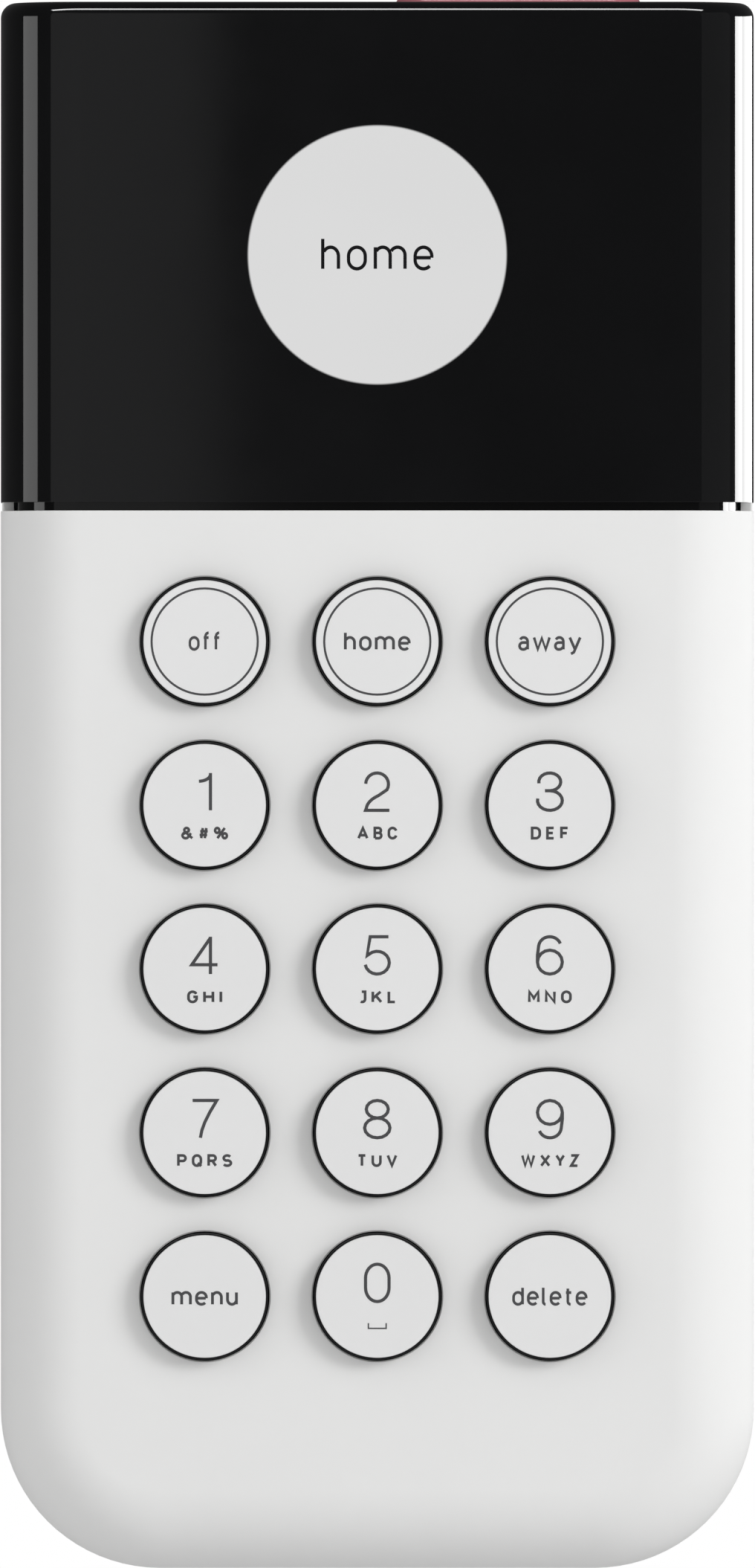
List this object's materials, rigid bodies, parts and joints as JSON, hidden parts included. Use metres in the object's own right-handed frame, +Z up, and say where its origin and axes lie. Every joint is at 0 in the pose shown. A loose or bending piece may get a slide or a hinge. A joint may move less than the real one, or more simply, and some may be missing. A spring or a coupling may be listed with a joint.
{
  "type": "alarm keypad",
  "caption": "Wall-mounted alarm keypad: black rocking display head over a white housing with round push keys, red button on top, lift-off wall plate.",
  "frame": {"origin": "centre of the wall plate's back face, which lies on the wall", "axes": "+Y into the wall, keypad faces -Y, +X to the viewer's right, +Z up"},
  "size_m": [0.07, 0.0268, 0.1459],
  "materials": {
    "white_plastic": "fine satin moulding",
    "black_gloss": "high gloss, tinted",
    "key_plastic": "satin white face on a black body",
    "black_plastic": "satin",
    "grey_plastic": "satin",
    "red_button": "satin gloss",
    "sprung_steel": "nickel plated",
    "circuit_board": "solder mask",
    "clear_plastic": "milky translucent",
    "adhesive_foam": "foam tape",
    "copper_film": "polyimide film",
    "battery_sleeve": "printed sleeve"
  },
  "bodies": {
    "wall_plate_body": {"wall_plate": "white_plastic", "adhesive_pad_upper": "adhesive_foam", "adhesive_pad_lower": "adhesive_foam"},
    "housing": {"rear_housing": "white_plastic", "front_housing": "white_plastic", "neck_collar": "black_gloss", "key_light_guide": "clear_plastic", "dome_sheet": "clear_plastic", "main_board": "circuit_board", "piezo_sounder": "black_plastic", "radio_shield": "sprung_steel", "radio_antenna": "sprung_steel", "flex_connector": "black_plastic", "rocker_base": "black_plastic", "battery_1": "battery_sleeve", "battery_contact_1": "sprung_steel", "battery_spring_1": "sprung_steel", "battery_2": "battery_sleeve", "battery_contact_2": "sprung_steel", "battery_spring_2": "sprung_steel", "battery_3": "battery_sleeve", "battery_contact_3": "sprung_steel", "battery_spring_3": "sprung_steel", "battery_4": "battery_sleeve", "battery_contact_4": "sprung_steel", "battery_spring_4": "sprung_steel", "case_screw_left": "sprung_steel", "case_screw_right": "sprung_steel", "chassis_screw_left": "sprung_steel", "chassis_screw_right": "sprung_steel", "rocker_switch_left": "black_plastic", "rocker_switch_right": "black_plastic", "rocker_switch_top": "black_plastic", "rocker_switch_bottom": "black_plastic"},
    "gimbal": {"rocker_gimbal": "grey_plastic"},
    "head": {"head_cap": "black_gloss", "head_carrier": "black_plastic", "display_module": "sprung_steel", "display_diffuser": "clear_plastic", "display_flex": "copper_film", "panic_switch": "black_plastic"},
    "panic": {"panic_button": "red_button"},
    "key_off_body": {"key_off": "key_plastic"},
    "key_home_body": {"key_home": "key_plastic"},
    "key_away_body": {"key_away": "key_plastic"},
    "key_1_body": {"key_1": "key_plastic"},
    "key_2_body": {"key_2": "key_plastic"},
    "key_3_body": {"key_3": "key_plastic"},
    "key_4_body": {"key_4": "key_plastic"},
    "key_5_body": {"key_5": "key_plastic"},
    "key_6_body": {"key_6": "key_plastic"},
    "key_7_body": {"key_7": "key_plastic"},
    "key_8_body": {"key_8": "key_plastic"},
    "key_9_body": {"key_9": "key_plastic"},
    "key_menu_body": {"key_menu": "key_plastic"},
    "key_0_body": {"key_0": "key_plastic"},
    "key_delete_body": {"key_delete": "key_plastic"}
  },
  "joints": [
    {"name": "lift_off", "type": "slide", "parent": "wall_plate_body", "child": "housing", "axis": [0, 0, 1], "range_m": [0, 0.008]},
    {"name": "rocker_tilt", "type": "hinge", "parent": "housing", "child": "gimbal", "pos_m": [0, -0.0098, 0.0495], "axis": [1, 0, 0], "range_deg": [-0.5, 0.5], "stiffness_Nm_per_rad": 3},
    {"name": "rocker_swing", "type": "hinge", "parent": "gimbal", "child": "head", "pos_m": [0, -0.0098, 0.0495], "axis": [0, 0, 1], "range_deg": [-0.5, 0.5], "stiffness_Nm_per_rad": 3},
    {"name": "panic_press", "type": "slide", "parent": "head", "child": "panic", "axis": [0, 0, -1], "range_m": [0, 0.0005], "stiffness_N_per_m": 600},
    {"name": "key_off_press", "type": "slide", "parent": "housing", "child": "key_off_body", "axis": [0, 1, 0], "range_m": [0, 0.0008], "stiffness_N_per_m": 600},
    {"name": "key_home_press", "type": "slide", "parent": "housing", "child": "key_home_body", "axis": [0, 1, 0], "range_m": [0, 0.0008], "stiffness_N_per_m": 600},
    {"name": "key_away_press", "type": "slide", "parent": "housing", "child": "key_away_body", "axis": [0, 1, 0], "range_m": [0, 0.0008], "stiffness_N_per_m": 600},
    {"name": "key_1_press", "type": "slide", "parent": "housing", "child": "key_1_body", "axis": [0, 1, 0], "range_m": [0, 0.0008], "stiffness_N_per_m": 600},
    {"name": "key_2_press", "type": "slide", "parent": "housing", "child": "key_2_body", "axis": [0, 1, 0], "range_m": [0, 0.0008], "stiffness_N_per_m": 600},
    {"name": "key_3_press", "type": "slide", "parent": "housing", "child": "key_3_body", "axis": [0, 1, 0], "range_m": [0, 0.0008], "stiffness_N_per_m": 600},
    {"name": "key_4_press", "type": "slide", "parent": "housing", "child": "key_4_body", "axis": [0, 1, 0], "range_m": [0, 0.0008], "stiffness_N_per_m": 600},
    {"name": "key_5_press", "type": "slide", "parent": "housing", "child": "key_5_body", "axis": [0, 1, 0], "range_m": [0, 0.0008], "stiffness_N_per_m": 600},
    {"name": "key_6_press", "type": "slide", "parent": "housing", "child": "key_6_body", "axis": [0, 1, 0], "range_m": [0, 0.0008], "stiffness_N_per_m": 600},
    {"name": "key_7_press", "type": "slide", "parent": "housing", "child": "key_7_body", "axis": [0, 1, 0], "range_m": [0, 0.0008], "stiffness_N_per_m": 600},
    {"name": "key_8_press", "type": "slide", "parent": "housing", "child": "key_8_body", "axis": [0, 1, 0], "range_m": [0, 0.0008], "stiffness_N_per_m": 600},
    {"name": "key_9_press", "type": "slide", "parent": "housing", "child": "key_9_body", "axis": [0, 1, 0], "range_m": [0, 0.0008], "stiffness_N_per_m": 600},
    {"name": "key_menu_press", "type": "slide", "parent": "housing", "child": "key_menu_body", "axis": [0, 1, 0], "range_m": [0, 0.0008], "stiffness_N_per_m": 600},
    {"name": "key_0_press", "type": "slide", "parent": "housing", "child": "key_0_body", "axis": [0, 1, 0], "range_m": [0, 0.0008], "stiffness_N_per_m": 600},
    {"name": "key_delete_press", "type": "slide", "parent": "housing", "child": "key_delete_body", "axis": [0, 1, 0], "range_m": [0, 0.0008], "stiffness_N_per_m": 600}
  ]
}
